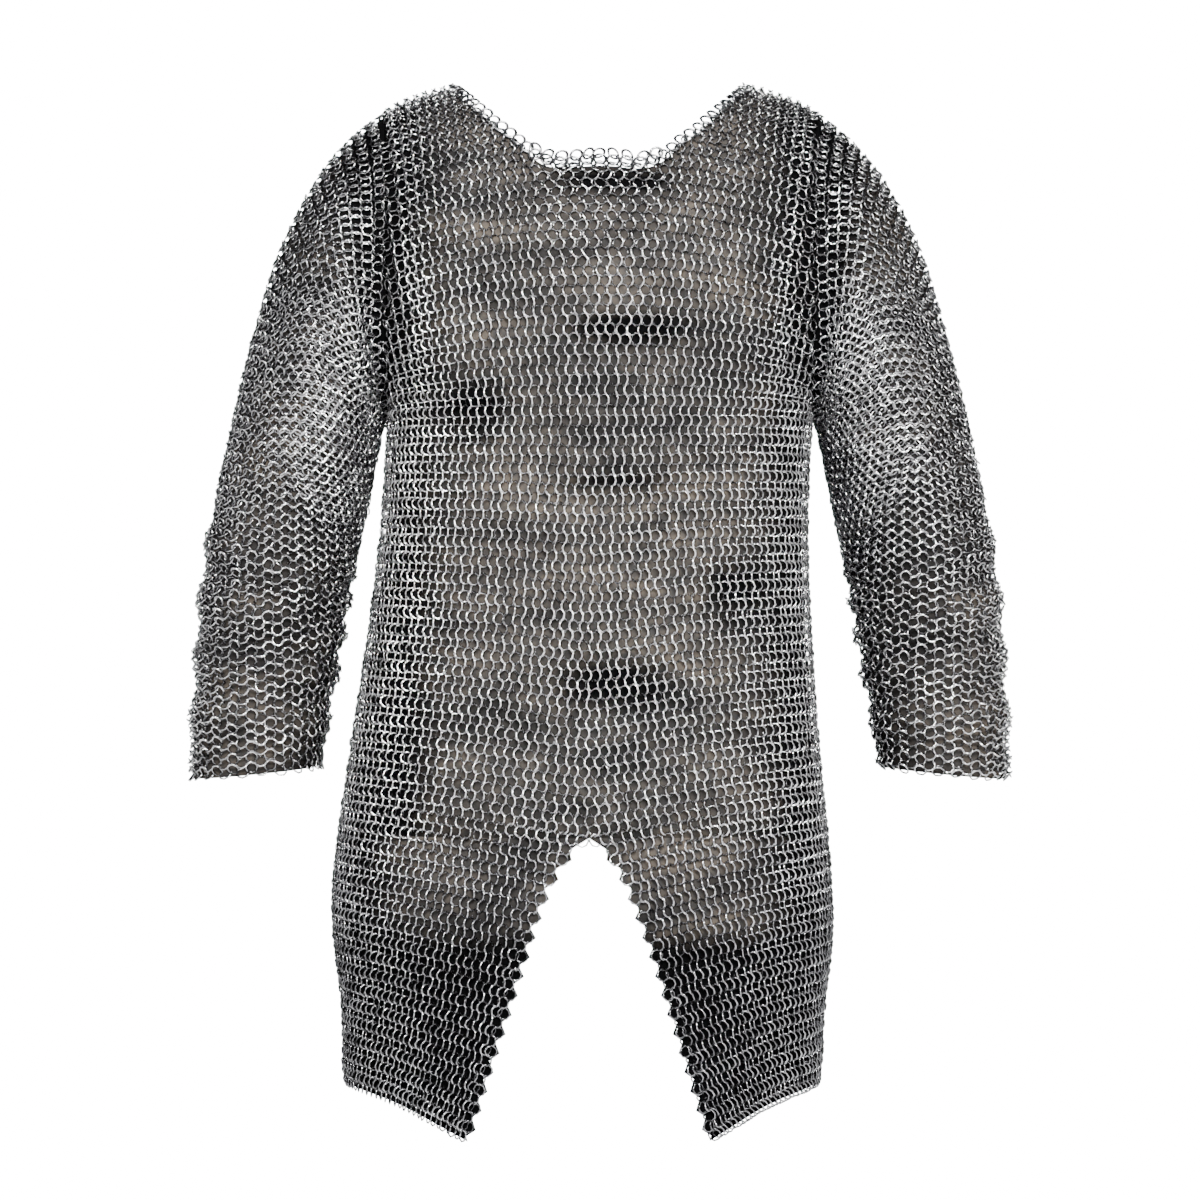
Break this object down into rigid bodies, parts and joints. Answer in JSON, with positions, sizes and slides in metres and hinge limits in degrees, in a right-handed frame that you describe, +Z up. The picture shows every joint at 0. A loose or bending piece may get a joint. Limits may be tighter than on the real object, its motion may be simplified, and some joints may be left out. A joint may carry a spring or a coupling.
{
  "type": "chainmail hauberk",
  "caption": "Long-sleeved mail shirt of linked steel rings, with a wide neck, a vented skirt and the hollow form it has when worn.",
  "frame": {"origin": "midway between the two neck points, on the line of the shoulders, where the wearer holds it up", "axes": "+Z up, the front towards -Y, the wearer's left towards +X"},
  "size_m": [0.733, 0.32, 0.93],
  "materials": {
    "mail": "satin"
  },
  "bodies": {
    "root": {"body_front": "mail", "body_back": "mail", "sleeve_right": "mail", "sleeve_left": "mail", "skirt_front_right": "mail", "skirt_front_left": "mail", "skirt_back_right": "mail", "skirt_back_left": "mail"}
  },
  "joints": []
}
